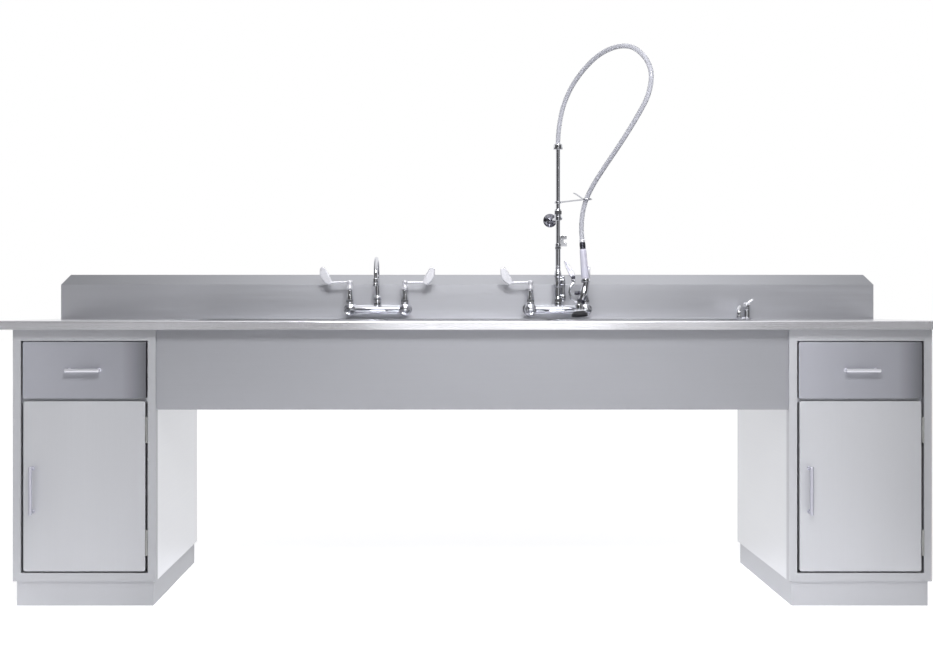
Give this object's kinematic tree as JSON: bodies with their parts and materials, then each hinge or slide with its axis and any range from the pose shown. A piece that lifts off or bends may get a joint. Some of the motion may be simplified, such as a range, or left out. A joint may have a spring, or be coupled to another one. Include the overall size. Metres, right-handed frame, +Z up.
{
  "type": "stainless steel decontamination sink station",
  "caption": "Long stainless counter with deep bowls and a backsplash on two end cabinets, with wrist-blade mixer, spring-hose rinse spray and a small deck tap",
  "frame": {"origin": "on the floor under the middle of the counter", "axes": "X to the right, Y to the back wall, Z up"},
  "size_m": [3.048, 0.762, 1.885],
  "materials": {
    "satin_steel": "fine satin grain along the length",
    "cabinet_steel": "light satin, upright grain",
    "plain_steel": "plain zinc grey",
    "chrome_fittings": "polished",
    "dark_rubber": "matte",
    "hose_grey": "smooth with a woven layer under it",
    "dark_metal": "dark satin",
    "lavender_plastic": "smooth light lavender grey"
  },
  "bodies": {
    "station": {"deck": "satin_steel", "backsplash": "satin_steel", "left_bowl": "satin_steel", "middle_bowl": "satin_steel", "right_bowl": "satin_steel", "drain_bodies": "chrome_fittings", "drain_strainers": "satin_steel", "drain_locknuts": "plain_steel", "drain_tailpieces": "chrome_fittings", "front_apron": "satin_steel", "deck_channels": "plain_steel", "left_cabinet_shell": "cabinet_steel", "right_cabinet_shell": "cabinet_steel", "face_frames": "cabinet_steel", "kick_bases": "cabinet_steel", "shelves": "cabinet_steel", "shelf_clips": "plain_steel", "drawer_runners": "plain_steel", "door_hinge_frame_leaves": "plain_steel", "door_hinge_pins": "plain_steel", "door_catches": "dark_rubber", "mixer_body": "chrome_fittings", "rinse_body": "chrome_fittings", "supply_flanges": "chrome_fittings", "supply_shanks": "plain_steel", "valve_bonnets": "chrome_fittings", "riser_adapter": "chrome_fittings", "riser_pipe": "chrome_fittings", "wall_bracket": "chrome_fittings", "finger_hook": "chrome_fittings", "spring_collar": "chrome_fittings", "hose_spring": "chrome_fittings", "hose": "hose_grey", "hose_ferrule": "dark_metal", "spray_grip": "lavender_plastic", "spray_body": "chrome_fittings", "spray_face": "dark_rubber", "tap_column": "chrome_fittings"},
    "left_drawer": {"left_drawer_front": "cabinet_steel", "left_drawer_box": "cabinet_steel", "left_drawer_pull": "chrome_fittings", "left_drawer_rails": "plain_steel"},
    "right_drawer": {"right_drawer_front": "cabinet_steel", "right_drawer_box": "cabinet_steel", "right_drawer_pull": "chrome_fittings", "right_drawer_rails": "plain_steel"},
    "left_door_body": {"left_door": "cabinet_steel", "left_door_pull": "chrome_fittings", "left_door_hinge_leaves": "plain_steel"},
    "right_door_body": {"right_door": "cabinet_steel", "right_door_pull": "chrome_fittings", "right_door_hinge_leaves": "plain_steel"},
    "mixer_hot_handle": {"mixer_hot_handle": "chrome_fittings"},
    "mixer_cold_handle": {"mixer_cold_handle": "chrome_fittings"},
    "gooseneck_spout": {"gooseneck_spout": "chrome_fittings"},
    "rinse_hot_handle": {"rinse_hot_handle": "chrome_fittings"},
    "rinse_cold_handle": {"rinse_cold_handle": "chrome_fittings"},
    "spray_lever": {"spray_lever": "chrome_fittings"},
    "tap_spout": {"tap_spout": "chrome_fittings"},
    "tap_lever": {"tap_lever": "chrome_fittings"}
  },
  "joints": [
    {"name": "left_drawer_slide", "type": "slide", "parent": "station", "child": "left_drawer", "axis": [0, -1, 0], "range_m": [0, 0.4]},
    {"name": "right_drawer_slide", "type": "slide", "parent": "station", "child": "right_drawer", "axis": [0, -1, 0], "range_m": [0, 0.4]},
    {"name": "left_door_hinge", "type": "hinge", "parent": "station", "child": "left_door_body", "pos_m": [-1.043, -0.345, 0.384], "axis": [0, 0, 1], "range_deg": [0, 120]},
    {"name": "right_door_hinge", "type": "hinge", "parent": "station", "child": "right_door_body", "pos_m": [1.4414, -0.345, 0.384], "axis": [0, 0, 1], "range_deg": [0, 120]},
    {"name": "mixer_hot_valve", "type": "hinge", "parent": "station", "child": "mixer_hot_handle", "pos_m": [-0.4356, 0.266, 1.03], "axis": [0, 0, 1], "range_deg": [0, 90]},
    {"name": "mixer_cold_valve", "type": "hinge", "parent": "station", "child": "mixer_cold_handle", "pos_m": [-0.2324, 0.266, 1.03], "axis": [0, 0, -1], "range_deg": [0, 90]},
    {"name": "gooseneck_swivel", "type": "hinge", "parent": "station", "child": "gooseneck_spout", "pos_m": [-0.334, 0.266, 1], "axis": [0, 0, 1], "range_deg": [-30, 30]},
    {"name": "rinse_hot_valve", "type": "hinge", "parent": "station", "child": "rinse_hot_handle", "pos_m": [0.2324, 0.266, 1.03], "axis": [0, 0, 1], "range_deg": [0, 90]},
    {"name": "rinse_cold_valve", "type": "hinge", "parent": "station", "child": "rinse_cold_handle", "pos_m": [0.4356, 0.266, 1.03], "axis": [0, 0, 1], "range_deg": [0, 90]},
    {"name": "spray_lever_squeeze", "type": "hinge", "parent": "station", "child": "spray_lever", "pos_m": [0.37624, 0.13963, 1.06506], "axis": [0.0036, 0.9947, -0.1028], "range_deg": [0, 16], "stiffness_Nm_per_rad": 0.6, "springref_deg": -11.46},
    {"name": "tap_swivel", "type": "hinge", "parent": "station", "child": "tap_spout", "pos_m": [1.032, 0.266, 0.957], "axis": [0, 0, -1], "range_deg": [-20, 60]},
    {"name": "tap_valve", "type": "hinge", "parent": "station", "child": "tap_lever", "pos_m": [1.032, 0.266, 0.966], "axis": [0, 0, -1], "range_deg": [0, 90]}
  ]
}
